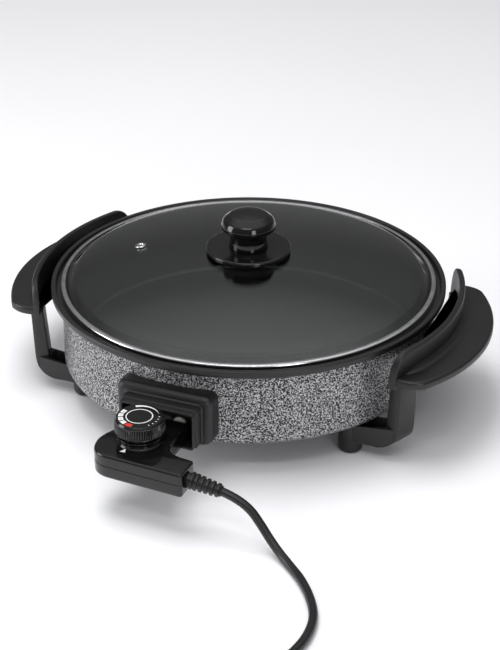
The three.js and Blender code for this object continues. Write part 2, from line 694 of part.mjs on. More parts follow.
const spindle = post(2.5, 56, DIAL_LOW + 7.6, DIAL_X, DIAL_Y, 18).add(post(5, 57, 59, DIAL_X, DIAL_Y, 24))
add('dial_spindle', spindle, BRASS)

// ---- strain relief and cord ----
const relief = [[CORD_R + GAP, -5.5], [6.2, -5.5], [6.2, 2.1], [8.1, 2.4], [8.1, 4.4], [6.6, 4.8]]
for (let i = 0; i < 5; i += 1) {
  const t = 5.6 + i * 5.15
  const r = 7.9 - i * 0.35
  relief.push([r - 1.5, t], [r, t + 0.6], [r, t + 3], [r - 1.5, t + 3.6])
}
relief.push([5.4, 31.4], [CORD_R + GAP, 31.4])
add('strain_relief', reliefPiece(relief, 14), RUBBER)

function alongRelief(t) {
  return reliefAxis.clone().multiplyScalar(t).add(new THREE.Vector3(...CORD_EXIT)).toArray()
}

const run = [
  alongRelief(-4),
  alongRelief(14),
  alongRelief(31.4),
  [102.3, -273.5, 42.6],
  [114.5, -274.6, 35.4],
  [124.5, -277, 25.6],
  [135, -281, 15.2],
  [147, -287.5, 7.6],
  [160, -297, 4.5],
  [176, -312, 4.3],
  [192, -333, 4.3],
  [203, -356, 4.3],
  [206, -382, 4.3],
  [201, -410, 4.3],
  [192, -435, 4.4],
  [185.2, -455, 4.9],
  [183.9, -466, 5.2],
]
add('power_cord', bar(run, CORD_R, 56, 8), RUBBER)

let coil = turned([[COIL_IN, COIL_LOW], [COIL_OUT, COIL_LOW], [COIL_OUT, COIL_HIGH], [COIL_IN, COIL_HIGH]], 32, COIL_X, COIL_Y)
add('cord_coil', coil, RUBBER)

const tieIn = box(COIL_X + COIL_IN - 1, COIL_X + COIL_OUT + 0.5, COIL_Y - 4, COIL_Y + 4, 1.3, 10.3)
const tieOut = box(COIL_X + COIL_IN - 2.2, COIL_X + COIL_OUT + 1.7, COIL_Y - 4, COIL_Y + 4, 0.2, 11.5)
add('cord_tie', tieOut.subtract(tieIn.add(box(COIL_X + COIL_IN - 1, COIL_X + COIL_OUT + 0.5, COIL_Y - 5, COIL_Y + 5, 1.3, 10.3))), BLACK_MATT)

const PLUG_Y = COIL_Y - COIL_OUT - 0.4
const plugPlan = polygon([
  [214, PLUG_Y - 4],
  [217, PLUG_Y - 1.5],
  [240, PLUG_Y - 0.3],
  [243, PLUG_Y - 2],
  [243, PLUG_Y - 24],
  [240, PLUG_Y - 25.7],
  [217, PLUG_Y - 24.5],
  [214, PLUG_Y - 22],
])
const plug = solid(raised(plugPlan, 0.2, 17, 2, 2, 4)).add(rodX(6, 202, 216, PLUG_Y - 13, 8.6))
const pinHoles = box(230, 250, PLUG_Y - 19.9, PLUG_Y - 17.7, 4.9, 12.3).add(box(230, 250, PLUG_Y - 8.3, PLUG_Y - 6.1, 4.9, 12.3))
add('plug_body', plug.subtract(pinHoles), BLACK_MATT)
add('plug_blade_1', box(230.4, 261, PLUG_Y - 19.6, PLUG_Y - 18, 5.2, 12), BRASS)
add('plug_blade_2', box(230.4, 261, PLUG_Y - 8, PLUG_Y - 6.4, 5.2, 12), BRASS)

export default group
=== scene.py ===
# Electric griddle: looks of the pan, lid, handles, socket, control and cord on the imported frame.
import math

import bpy
import bmesh
from mathutils import Matrix, Vector


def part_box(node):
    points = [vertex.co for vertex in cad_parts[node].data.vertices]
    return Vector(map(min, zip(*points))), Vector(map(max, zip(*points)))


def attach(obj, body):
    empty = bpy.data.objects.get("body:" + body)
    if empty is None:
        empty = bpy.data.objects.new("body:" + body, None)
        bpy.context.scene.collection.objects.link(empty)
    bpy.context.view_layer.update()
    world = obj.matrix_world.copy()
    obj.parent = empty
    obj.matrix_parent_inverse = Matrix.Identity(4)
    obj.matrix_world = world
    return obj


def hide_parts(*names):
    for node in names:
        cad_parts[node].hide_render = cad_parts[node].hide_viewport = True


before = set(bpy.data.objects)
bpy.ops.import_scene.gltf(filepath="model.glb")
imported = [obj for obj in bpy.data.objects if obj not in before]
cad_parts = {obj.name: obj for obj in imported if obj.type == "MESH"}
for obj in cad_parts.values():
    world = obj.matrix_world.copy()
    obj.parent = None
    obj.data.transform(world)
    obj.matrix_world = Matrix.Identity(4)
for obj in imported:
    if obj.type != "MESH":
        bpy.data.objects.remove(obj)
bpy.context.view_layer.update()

MM = 0.001
pan_low, pan_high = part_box("pan_body")
AXIS = Vector(((pan_low.x + pan_high.x) / 2, (pan_low.y + pan_high.y) / 2, 0))
RIM_R = (pan_high.x - pan_low.x) / 2 / MM
RIM_TOP = pan_high.z / MM


def at(x, y, z):
    """A point given in millimetres from the pan axis and the table."""
    return AXIS + Vector((x, y, z)) * MM


def centre_of(node):
    """The middle of a node in millimetres from the pan axis."""
    low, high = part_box(node)
    return (low + high) / 2 / MM - AXIS / MM


# ---- camera and lights ----
VIEW_TURN = 22.2
AZIMUTH = math.radians(VIEW_TURN)
ELEVATION = math.radians(28.05)
CAMERA_SHIFT, CAMERA_HEIGHT, CAMERA_DISTANCE = 1.5, 54, 1650
SENSOR, FOCAL_PER_HEIGHT = 36, 1566 / 650
back = Vector((
    math.sin(AZIMUTH) * math.cos(ELEVATION),
    -math.cos(AZIMUTH) * math.cos(ELEVATION),
    math.sin(ELEVATION),
))
right = Vector((math.cos(AZIMUTH), math.sin(AZIMUTH), 0))
up = back.cross(right)


def facing(place, target):
    """A world matrix at place whose -Z axis looks at target."""
    turn = (target - place).to_track_quat("-Z", "Y")
    return Matrix.Translation(place) @ turn.to_matrix().to_4x4()


camera = bpy.data.objects.new("camera", bpy.data.cameras.new("camera"))
camera.matrix_world = (
    Matrix.Translation(AXIS + (right * CAMERA_SHIFT + up * CAMERA_HEIGHT + back * CAMERA_DISTANCE) * MM)
    @ Matrix((right, up, back)).transposed().to_4x4()
)
camera.data.sensor_width = SENSOR
camera.data.lens = SENSOR * FOCAL_PER_HEIGHT
camera.data.clip_end = 30
bpy.context.scene.collection.objects.link(camera)
bpy.context.scene.camera = camera
bpy.context.scene.view_settings.view_transform = "Standard"
bpy.context.scene.view_settings.look = "None"


def area_light(name, place, target, size, power, size_y, mirrored=True):
    """A rectangular light in metres and watts; mirrored lets glossy surfaces reflect it."""
    lamp = bpy.data.lights.new(name, "AREA")
    lamp.shape = "RECTANGLE"
    lamp.size = size
    lamp.size_y = size_y
    lamp.energy = power
    holder = bpy.data.objects.new(name, lamp)
    holder.matrix_world = facing(Vector(place), Vector(target))
    holder.visible_glossy = mirrored
    holder.visible_transmission = False
    bpy.context.scene.collection.objects.link(holder)


area_light("light_top", (-0.35, -0.1, 2.1), (0, 0, 0.1), 1.3, 26, 1.0, mirrored=False)
area_light("light_left", (-1.9, -1.0, 0.8), (0, 0, 0.1), 0.9, 18, 1.1)
area_light("light_right", (1.7, -1.7, 0.7), (0, 0, 0.1), 0.6, 9, 0.9)
area_light("light_front", (0.35, -2.6, 0.6), (0, -0.1, 0.06), 1.1, 6, 0.35, mirrored=False)
area_light("light_strip", (0.25, -1.3, 1.9), (-0.05, -0.2, 0.08), 1.3, 7, 0.2)

# a room that is bright overhead and dim along the horizon
world = bpy.data.worlds.new("studio")
bpy.context.scene.world = world
world.use_nodes = True
world_nodes, world_links = world.node_tree.nodes, world.node_tree.links
way = world_nodes.new("ShaderNodeTexCoord")
height = world_nodes.new("ShaderNodeSeparateXYZ")
shade = world_nodes.new("ShaderNodeValToRGB")
for element, position, value in zip(
    (shade.color_ramp.elements[0], shade.color_ramp.elements.new(0.5), shade.color_ramp.elements[-1]),
    (0.35, 0.6, 0.9),
    (0.16, 0.3, 1.0),
):
    element.position = position
    element.color = (value, value, value, 1)
world_links.new(way.outputs["Generated"], height.inputs["Vector"])
world_links.new(height.outputs["Z"], shade.inputs["Fac"])
world_links.new(shade.outputs["Color"], world_nodes["Background"].inputs["Color"])
world_nodes["Background"].inputs["Strength"].default_value = 1.0


# ---- materials ----
class Finish:
    """A Principled material with helpers for object-space procedural detail."""

    def __init__(self, name, color, roughness, metallic=0.0, **sockets):
        self.material = bpy.data.materials.new(name)
        self.material.use_nodes = True
        self.nodes = self.material.node_tree.nodes
        self.links = self.material.node_tree.links
        self.shader = self.nodes["Principled BSDF"]
        self.shader.inputs["Base Color"].default_value = (*color, 1)
        self.shader.inputs["Roughness"].default_value = roughness
        self.shader.inputs["Metallic"].default_value = metallic
        for key, value in sockets.items():
            self.shader.inputs[key.replace("_", " ")].default_value = value

    def place(self, stretch):
        """Object coordinates, stretched along each axis."""
        coordinates = self.nodes.new("ShaderNodeTexCoord")
        mapping = self.nodes.new("ShaderNodeMapping")
        mapping.inputs["Scale"].default_value = stretch
        self.links.new(coordinates.outputs["Object"], mapping.inputs["Vector"])
        return mapping.outputs["Vector"]

    def noise(self, scale, detail=3.0, stretch=(1, 1, 1), distortion=0.0, rough=0.5):
        node = self.nodes.new("ShaderNodeTexNoise")
        node.inputs["Scale"].default_value = scale
        node.inputs["Detail"].default_value = detail
        node.inputs["Roughness"].default_value = rough
        node.inputs["Distortion"].default_value = distortion
        self.links.new(self.place(stretch), node.inputs["Vector"])
        return node.outputs["Fac"]

    def ramp(self, value, stops):
        """A color that follows a value; stops are (position, color)."""
        node = self.nodes.new("ShaderNodeValToRGB")
        band = node.color_ramp
        while len(band.elements) < len(stops):
            band.elements.new(0.5)
        for element, (position, color) in zip(band.elements, stops):
            element.position = position
            element.color = (*color, 1)
        self.links.new(value, node.inputs["Fac"])
        return node.outputs["Color"]

    def span(self, value, low, high, from_low=0.3, from_high=0.7):
        """Maps a noise value to the range from low to high."""
        node = self.nodes.new("ShaderNodeMapRange")
        for key, number in zip(
            ("From Min", "From Max", "To Min", "To Max"), (from_low, from_high, low, high)
        ):
            node.inputs[key].default_value = number
        self.links.new(value, node.inputs["Value"])
        return node.outputs["Result"]

    def color(self, value):
        self.links.new(value, self.shader.inputs["Base Color"])

    def roughness(self, value):
        self.links.new(value, self.shader.inputs["Roughness"])

    def bump(self, height, distance, strength):
        node = self.nodes.new("ShaderNodeBump")
        node.inputs["Distance"].default_value = distance
        node.inputs["Strength"].default_value = strength
        self.links.new(height, node.inputs["Height"])
        self.links.new(node.outputs["Normal"], self.shader.inputs["Normal"])


def grey(v):
    """A faintly cool grey."""
    return (v, v, v * 1.03)


def hammertone():
    """Dark paint with a fine raised worm pattern of light metal."""
    f = Finish("hammertone", grey(0.2), 0.34, 0.35)
    worm = f.noise(760, 0.5, distortion=0.6, rough=0.4)
    f.color(f.ramp(worm, [(0.40, grey(0.008)), (0.47, grey(0.035)), (0.54, grey(0.3)), (0.66, grey(0.55))]))
    f.roughness(f.span(worm, 0.5, 0.28, 0.42, 0.62))
    f.bump(worm, 0.0004, 0.6)
    return f.material


def non_stick():
    f = Finish("non_stick", grey(0.008), 0.34)
    fine = f.noise(1500, 4)
    wide = f.noise(22, 3)
    f.color(f.ramp(fine, [(0.35, grey(0.005)), (0.7, grey(0.014))]))
    f.roughness(f.span(wide, 0.3, 0.43))
    f.bump(fine, 0.00006, 0.5)
    return f.material


def moulded(name, base, low, high, grain=0.00005, scale=2600):
    f = Finish(name, grey(base), (low + high) / 2)
    fine = f.noise(scale, 4)
    wide = f.noise(26, 4)
    f.color(f.ramp(wide, [(0.3, grey(base * 0.85)), (0.7, grey(base * 1.15))]))
    f.roughness(f.span(wide, low, high))
    f.bump(fine, grain, 0.6)
    return f.material


def gloss_black():
    f = Finish("gloss_black", grey(0.004), 0.1)
    wide = f.noise(34, 4)
    f.color(f.ramp(wide, [(0.3, grey(0.0032)), (0.7, grey(0.0055))]))
    f.roughness(f.span(f.noise(180, 5), 0.08, 0.17))
    f.bump(f.noise(60, 2), 0.00005, 0.5)
    return f.material


def rolled_steel(name, base, low, high, stretch=(1, 1, 40), scale=90):
    f = Finish(name, grey(base), (low + high) / 2, 1.0)
    streak = f.noise(scale, 5, stretch)
    f.color(f.ramp(streak, [(0.3, grey(base * 0.82)), (0.7, grey(base * 1.08))]))
    f.roughness(f.span(streak, low, high))
    f.bump(streak, 0.00002, 0.4)
    return f.material


def tinted_glass():
    f = Finish("tinted_glass", (0.86, 0.89, 0.9), 0.0, Transmission_Weight=1.0, IOR=1.5)
    f.roughness(f.span(f.noise(40, 4), 0.0, 0.02))
    return f.material


def speckled(name, base, low, high, metallic=0.0, scale=700, tint=(1, 1, 1)):
    color = tuple(base * t for t in tint)
    f = Finish(name, color, (low + high) / 2, metallic)
    fleck = f.noise(scale, 4)
    dark, light = tuple(c * 0.8 for c in color), tuple(min(1, c * 1.1) for c in color)
    f.color(f.ramp(fleck, [(0.3, dark), (0.7, light)]))
    f.roughness(f.span(fleck, low, high))
    f.bump(fleck, 0.00004, 0.5)
    return f.material


def studio_floor():
    f = Finish("floor", grey(0.86), 0.6)
    f.roughness(f.span(f.noise(3, 2), 0.55, 0.65))
    return f.material


HAMMERTONE = hammertone()
NON_STICK = non_stick()
PLASTIC = moulded("satin_black_plastic", 0.0075, 0.34, 0.45)
SHROUD_PLASTIC = moulded("shroud_plastic", 0.007, 0.38, 0.48, 0.00008, 1900)
GLOSS = gloss_black()
CHROME = rolled_steel("bright_steel", 0.78, 0.1, 0.2)
PLATED = rolled_steel("plated_steel", 0.55, 0.24, 0.4, (1, 1, 6), 240)
SHEATH = speckled("element_sheath", 0.13, 0.4, 0.62, 0.8, 420)
CAST = speckled("cast_aluminium", 0.5, 0.35, 0.55, 1.0, 900)
CERAMIC = speckled("ceramic", 0.72, 0.55, 0.75, 0, 1200, (1, 0.97, 0.9))
BRASS = speckled("brass", 0.6, 0.22, 0.36, 1.0, 600, (1.15, 0.9, 0.45))
GLASS = tinted_glass()
SILICONE = speckled("silicone", 0.5, 0.5, 0.66, 0, 500)
CORD = moulded("cord_sheath", 0.008, 0.32, 0.45, 0.00006, 1500)
PRINT = speckled("white_print", 0.78, 0.45, 0.6, 0, 2600)
RED_PRINT = speckled("red_print", 0.55, 0.4, 0.55, 0, 2600, (1, 0.06, 0.05))
FLOOR = studio_floor()


# ---- mesh building ----
SHORTEST_STEP = 0.02  # points nearer than this are one point
LARGEST_REACH = 0.48  # share of a side that a rounded corner may use up


def fillet(points, steps=5, closed=True):
    """A polyline with its corners rounded; a point may carry a corner radius as a third number."""
    out = []
    n = len(points)
    for i, point in enumerate(points):
        p = Vector(point[:2])
        radius = point[2] if len(point) > 2 else 0
        if not radius or (not closed and i in (0, n - 1)):
            out.append(tuple(p))
            continue
        a = Vector(points[i - 1][:2]) - p
        b = Vector(points[(i + 1) % n][:2]) - p
        half = a.angle(b) / 2
        reach = min(radius / math.tan(half), LARGEST_REACH * a.length, LARGEST_REACH * b.length)
        start, end = p + a.normalized() * reach, p + b.normalized() * reach
        bulge = min(0.5, 0.29 + 0.21 * math.sin(half))
        for k in range(steps + 1):
            t = k / steps
            w0, w1, w2 = (1 - t) ** 2, 2 * t * (1 - t) * 2 * bulge, t * t
            out.append(tuple((start * w0 + p * w1 + end * w2) / (w0 + w1 + w2)))
    return out


def arc(cx, cy, r, start, end, steps):
    """Points along a circle from one angle to another, in degrees."""
    angles = (math.radians(start + (end - start) * i / steps) for i in range(steps + 1))
    return [(cx + r * math.cos(a), cy + r * math.sin(a)) for a in angles]


def bezier(a, b, c, d, steps):
    """Points along a cubic curve in the plane."""
    out = []
    for i in range(steps + 1):
        t = i / steps
        w = ((1 - t) ** 3, 3 * t * (1 - t) ** 2, 3 * t * t * (1 - t), t ** 3)
        out.append(tuple(sum(k * p[j] for k, p in zip(w, (a, b, c, d))) for j in (0, 1)))
    return out


def tidy_loop(points):
    """The loop without repeated points."""
    out = []
    for p in points:
        if not out or math.dist(p, out[-1]) > SHORTEST_STEP:
            out.append(p)
    if math.dist(out[0], out[-1]) <= SHORTEST_STEP:
        out.pop()
    return out


def inset(loop, amount):
    """A closed anticlockwise loop moved inwards along its own normals."""
    if not amount:
        return list(loop)
    out = []
    n = len(loop)
    for i, p in enumerate(loop):
        a, b = Vector(loop[i - 1]), Vector(loop[(i + 1) % n])
        before, after = (Vector(p) - a).normalized(), (b - Vector(p)).normalized()
        along = before + after
        normal = Vector((-along.y, along.x)).normalized()
        spread = max(0.5, normal.dot(Vector((-before.y, before.x))))
        out.append(tuple(Vector(p) + normal * (amount / spread)))
    return out


class Shape:
    """Collects closed surfaces in millimetres from the pan axis, then makes one object of them."""

    def __init__(self):
        self.points, self.faces, self.paint = [], [], []

    def rings(self, rings, caps=True, loop=False, mat=0, mats=None):
        """Joins rings of equal length one after the other; loop joins the last to the first."""
        base, n = len(self.points), len(rings[0])
        for ring in rings:
            self.points.extend(Vector(p) for p in ring)
        last = len(rings) if loop else len(rings) - 1
        for i in range(last):
            a, b = base + i * n, base + ((i + 1) % len(rings)) * n
            for j in range(n):
                k = (j + 1) % n
                self.faces.append((a + j, a + k, b + k, b + j))
                self.paint.append(mats[i] if mats else mat)
        if caps and not loop:
            self.faces.append(tuple(base + j for j in reversed(range(n))))
            self.faces.append(tuple(base + (len(rings) - 1) * n + j for j in range(n)))
            self.paint.extend((mats[0] if mats else mat, mats[-1] if mats else mat))
        return self

    def lathe(self, profile, facets=96, x=0, y=0, mat=0, mats=None, ripple=None):
        """Turns a profile of (radius, z) about a vertical line; a closed profile makes a ring."""
        rings = []
        hub = profile[0][0] < 1e-6 and profile[-1][0] < 1e-6
        for r, z in profile:
            r = max(r, 0.05)
            ring = []
            for j in range(facets):
                a = 2 * math.pi * j / facets
                reach = r + (ripple(r, z, j) if ripple else 0)
                ring.append((x + reach * math.cos(a), y + reach * math.sin(a), z))
            rings.append(ring)
        return self.rings(rings, caps=hub, loop=not hub, mat=mat, mats=mats)

    def stack(self, loop, levels, lift=None):
        """Stacks a plan outline; levels are (inset, z), and lift may move each point."""
        rings = []
        for amount, z in levels:
            ring = [(px, py, z) for px, py in inset(loop, amount)]
            rings.append([lift(*p) for p in ring] if lift else ring)
        return self.rings(rings)

    def moved(self, matrix, since=0):
        """Moves the points from number since onwards."""
        for i in range(since, len(self.points)):
            self.points[i] = matrix @ self.points[i]
        return self

    def mirrored(self):
        """The same shape on the other side of the pan."""
        other = Shape()
        other.points = [Vector((-p.x, p.y, p.z)) for p in self.points]
        other.faces, other.paint = [tuple(reversed(f)) for f in self.faces], list(self.paint)
        return other

    def make(self, name, body, materials, slot=None, nodes=(), sharp=38):
        """Makes the object, rides it on a body and lets it stand for CAD nodes."""
        mesh = bpy.data.meshes.new(name)
        mesh.from_pydata([tuple(AXIS + p * MM) for p in self.points], [], self.faces)
        for material in materials:
            mesh.materials.append(material)
        mesh.polygons.foreach_set("material_index", self.paint)
        tool = bmesh.new()
        tool.from_mesh(mesh)
        bmesh.ops.recalc_face_normals(tool, faces=tool.faces)
        tool.to_mesh(mesh)
        tool.free()
        mesh.shade_smooth()
        mesh.set_sharp_from_angle(angle=math.radians(sharp))
        thing = bpy.data.objects.new(name, mesh)
        bpy.context.scene.collection.objects.link(thing)
        if body:
            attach(thing, body)
        if nodes:
            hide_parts(*nodes)
        return thing


def rounded_rect(x0, x1, y0, y1, r, steps=5):
    """An anticlockwise rectangle with rounded corners."""
    return fillet([(x0, y0, r), (x1, y0, r), (x1, y1, r), (x0, y1, r)], steps)


def edge(z0, z1, low, high, steps=4):
    """Levels for a stack with rounded lower and upper edges."""
    out = []
    for k in range(steps + 1 if low else 1):
        a = math.pi / 2 * (k / steps if low else 1)
        out.append((low * (1 - math.sin(a)), z0 + low * (1 - math.cos(a))))
    for k in range(steps + 1 if high else 1):
        a = math.pi / 2 * (k / steps if high else 0)
        out.append((high * (1 - math.cos(a)), z1 - high * (1 - math.sin(a))))
    return out


# ---- floor ----
FLOOR_HALF, FLOOR_Z = 6000, -0.4
floor_shape = Shape()
floor_shape.points = [
    Vector((x * FLOOR_HALF, y * FLOOR_HALF, FLOOR_Z)) for x, y in ((-1, -1), (1, -1), (1, 1), (-1, 1))
]
floor_shape.faces, floor_shape.paint = [(0, 1, 2, 3)], [0]
floor_shape.make("floor", None, [FLOOR])

# ---- pan ----
WALL_LOW_R, WALL_TOP_R, WALL_TOP_Z, CORNER_R, CORNER_Z = 190.4, 189.4, 106, 9, 42
WALL_RISE = WALL_TOP_Z - CORNER_Z
PAN_BOTTOM, PAN_FLOOR, WALL = 33, 37, 4
ROUND = 240  # facets of the largest turned pieces
LEDGE_R, LEDGE_Z = 194.6, 113.5
FOOT_X, FOOT_Y = centre_of("foot_washer_right_back").x, centre_of("foot_washer_right_back").y
FEET = [(FOOT_X, FOOT_Y), (FOOT_X, -FOOT_Y), (-FOOT_X, FOOT_Y), (-FOOT_X, -FOOT_Y)]

outside = [(0, PAN_BOTTOM), (60, PAN_BOTTOM), (120, PAN_BOTTOM)]
outside += arc(WALL_LOW_R - CORNER_R, CORNER_Z, CORNER_R, -90, 0, 14)
outside += [
    (WALL_LOW_R + (WALL_TOP_R - WALL_LOW_R) * k / 4, CORNER_Z + WALL_RISE * k / 4) for k in range(1, 5)
]
rim = fillet([
    (WALL_TOP_R, WALL_TOP_Z),
    (RIM_R - 1.2, 112, 1),
    (RIM_R, 113.4, 1),
    (RIM_R, RIM_TOP, 1.9),
    (LEDGE_R + 0.4, RIM_TOP, 1.6),
    (LEDGE_R, LEDGE_Z),
    (WALL_TOP_R - WALL, LEDGE_Z, 1.5),
    (WALL_LOW_R - WALL, CORNER_Z),
], 5, closed=False)[1:]
inside = arc(WALL_LOW_R - CORNER_R, CORNER_Z, CORNER_R - WALL, 0, -90, 12)[1:]
inside += [(80, PAN_FLOOR), (0, PAN_FLOOR)]
coats = [0] * (len(outside) - 1) + [1] * (len(rim) + len(inside))
pan = Shape().lathe(outside + rim + inside, ROUND, mats=coats)
for x, y in FEET:
    pan.lathe([(0, 24.3), (7.1, 24.3), (7.5, 24.7), (7.5, 34), (0, 34)], 32, x, y)
pan.make("pan_shell", "pan", [HAMMERTONE, NON_STICK], "pan_coat", ["pan_body"], sharp=50)


def wall_radius(z):
    """Outside radius of the pan wall at a height."""
    if z < CORNER_Z:
        return WALL_LOW_R - CORNER_R + math.sqrt(max(0, CORNER_R ** 2 - (CORNER_Z - z) ** 2))
    return WALL_LOW_R + (WALL_TOP_R - WALL_LOW_R) * (z - CORNER_Z) / WALL_RISE


# ---- handles ----
SHELF_LOW, SHELF_HIGH = 86.5, 95.5
SHIELD_IN, SHIELD_OUT, SHIELD_LOW, SHIELD_TOP = 213.3, 219.3, 84, 120
SHIELD_END, SHIELD_FLAT = 108, 91  # half widths at the bottom and along the top
BAR_HALF, FOOT_TOP = 11, 14


def under_pan(x, y, z):
    """Keeps a point of the handle just below the pan's bottom."""
    return min(z, PAN_BOTTOM - 0.4) if math.hypot(x, y) < WALL_LOW_R + 0.6 else z


def leg_bowl(x, y, z):
    """Keeps a point of a leg or bar inside the rounded lower corner and flush at the ends."""
    y = max(-FOOT_Y - BAR_HALF, min(FOOT_Y + BAR_HALF, y))
    reach = 200 + math.sqrt(max(0, 400 - (34 - z) ** 2)) if z < 34 else 230
    far = math.hypot(x, y)
    if far <= reach:
        return (x, y, z)
    return (math.sqrt(max(1, reach * reach - y * y)), y, z)


def wind_shield(shape):
    """Columns across the shield, whose top follows its side outline."""
    foot, shoulder = (SHIELD_END, SHIELD_LOW), (SHIELD_FLAT, SHIELD_TOP)
    rise = bezier(foot, (107.5, 103), (103, SHIELD_TOP - 1), shoulder, 22)
    stations = [(-y, z) for y, z in rise[:-1]]
    stations += [(-SHIELD_FLAT + 2 * SHIELD_FLAT * k / 40, SHIELD_TOP) for k in range(41)]
    stations += list(reversed(rise[:-1]))
    columns = []
    for y, top in stations:
        top = max(top, SHIELD_LOW + 1)
        soft = min(2.6, (top - SHIELD_LOW) * 0.45)
        section = fillet([
            (SHIELD_IN, SHIELD_LOW),
            (SHIELD_OUT, SHIELD_LOW),
            (SHIELD_OUT, top, soft),
            (SHIELD_IN, top, soft * 0.8),
        ], 5)
        columns.append([(math.sqrt(r * r - y * y), y, z) for r, z in section])
    shape.rings(columns)


def shelf_grip(shape):
    """The flat grip outside the shield."""
    outer = arc(75, 0, 176.5, -35.2, 35.2, 56)
    inner = arc(0, 0, SHIELD_IN + 2, 29, -29, 30)
    shelf = outer + bezier(outer[-1], (208, 112), (189.5, 109), inner[0], 12)[1:-1]
    shelf += inner + bezier(inner[-1], (189.5, -109), (208, -112), outer[0], 12)[1:-1]
    shape.stack(tidy_loop(shelf), edge(SHELF_LOW, SHELF_HIGH, 2.6, 3.2, 5))


def shelf_cove(shape):
    """The hollow curve between shelf and shield, fading out at both ends."""
    half_angle, r0, z0, least = 26, 218, 95.4, 0.02
    cove = []
    for k in range(49):
        angle = -half_angle + 2 * half_angle * k / 48
        left = half_angle - abs(angle)
        size = max(least, min(1, left / 5) ** 0.5 if left > 0 else least)
        curve = [(r0, 94), (r0 + 8 * size, 94), (r0 + 8 * size, z0)]
        for s in range(1, 6):
            t = math.pi / 2 * s / 5
            curve.append((r0 + 0.9 + 7.1 * size * (1 - math.sin(t)), z0 + 7 * size * (1 - math.cos(t))))
        curve.append((r0, z0 + 7 * size))
        a = math.radians(angle)
        cove.append([(r * math.cos(a), r * math.sin(a), z) for r, z in curve])
    shape.rings(cove)


def leg(shape, side):
    """A leg from the shelf down, leaning towards the pan."""
    low, high = sorted((side * 21.4, side * 28.4))
    levels = [88, 86, 78, 68, 58, 48, 40, 34, 30, 26, 23, 20.5, 18.5, 17, 15.8, 15, 14.3, FOOT_TOP]
    rings = []
    for z in levels:
        fall = max(0, SHELF_LOW - z)
        r0, r1 = 209.5 - 0.07 * fall, 222 - 0.03 * fall
        soft = 0.8 if z == FOOT_TOP else 0
        corners = [(r0, low), (r1, low), (r1, (low + high) / 2), (r1, high), (r0, high)]
        plan = [(r * math.cos(math.radians(a)), r * math.sin(math.radians(a))) for r, a in corners]
        plan = [(*plan[0], 1.6), (*plan[1], 3.2), plan[2], (*plan[3], 3.2), (*plan[4], 1.6)]
        loop = inset(fillet(plan, 5), soft)
        rings.append([leg_bowl(px, py, z) for px, py in loop])
    shape.rings(list(reversed(rings)))


def bar_and_foot(shape, y):
    """A channel bar, open on top, from the leg to the round foot at y."""
    whole = rounded_rect(146.2, 193.6, y - BAR_HALF, y + BAR_HALF, 2.4)
    tray = [(rounded_rect(147, 193.6, y - 10.4, y + 10.4, 2.4), FOOT_TOP)]
    tray += [(whole, z) for z in (14.7, 15.4, 16.4, 17.8, 19.6, 22, 25, 29, 36.4)]
    tray += [
        (rounded_rect(146.7, 193.2, y - 10.5, y + 10.5, 2.2), 37),
        (rounded_rect(157.6, 181.9, y - 9.2, y + 9.2, 2), 37),
        (rounded_rect(158, 181.5, y - 8.8, y + 8.8, 1.6), 36.5),
        (rounded_rect(158.4, 181.1, y - 8.6, y + 8.6, 1.6), 17.6),
        (rounded_rect(159, 180.5, y - 8, y + 8, 1.6), 17),
    ]
    shape.rings([[leg_bowl(px, py, under_pan(px, py, z)) for px, py in loop] for loop, z in tray])
    foot = [(2.3, FOOT_TOP), (4.9, FOOT_TOP), (4.9, 0.4), (5.3, 0), (8.6, 0), (10.6, 0.9), (11.7, 2.6)]
    foot += [(12, 4.6), (12, 31.9), (11.2, 32.7), (7.8, 32.7), (7.8, 24), (2.3, 24)]
    shape.lathe(foot, 48, FOOT_X, y)


def handle():
    """One handle moulding: shield, shelf, legs, bars and feet."""
    shape = Shape()
    wind_shield(shape)
    shelf_grip(shape)
    shelf_cove(shape)
    for side in (-1, 1):
        leg(shape, side)
        bar_and_foot(shape, side * FOOT_Y)
    return shape


right_handle = handle()
right_handle.make("handle_moulding_right", "pan", [PLASTIC], "black_matt", ["handle_right"])
right_handle.mirrored().make("handle_moulding_left", "pan", [PLASTIC], "black_matt", ["handle_left"])

# ---- lid ----
GLASS_T, DOME_R, DOME_EDGE_Z = 4, 172, 126.5
band_low, band_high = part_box("lid_rim_band")
BAND_OUT = (band_high.x - band_low.x) / 2 / MM
BAND_LOW, BAND_HIGH = band_low.z / MM, band_high.z / MM
DOME_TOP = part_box("lid_glass")[1].z / MM
disc_low, disc_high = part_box("knob_escutcheon")
DISC_R, DISC_TOP = (disc_high.x - disc_low.x) / 2 / MM, disc_high.z / MM
knob_low, knob_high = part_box("lid_knob")
KNOB_LOW, KNOB_HIGH = knob_low.z / MM, knob_high.z / MM


def dome(r):
    """Height of the glass's upper face at a radius."""
    sag = DOME_TOP - 0.1 - DOME_EDGE_Z
    ball = (DOME_R ** 2 + sag ** 2) / (2 * sag)
    return DOME_TOP - 0.1 - ball + math.sqrt(ball ** 2 - r * r)


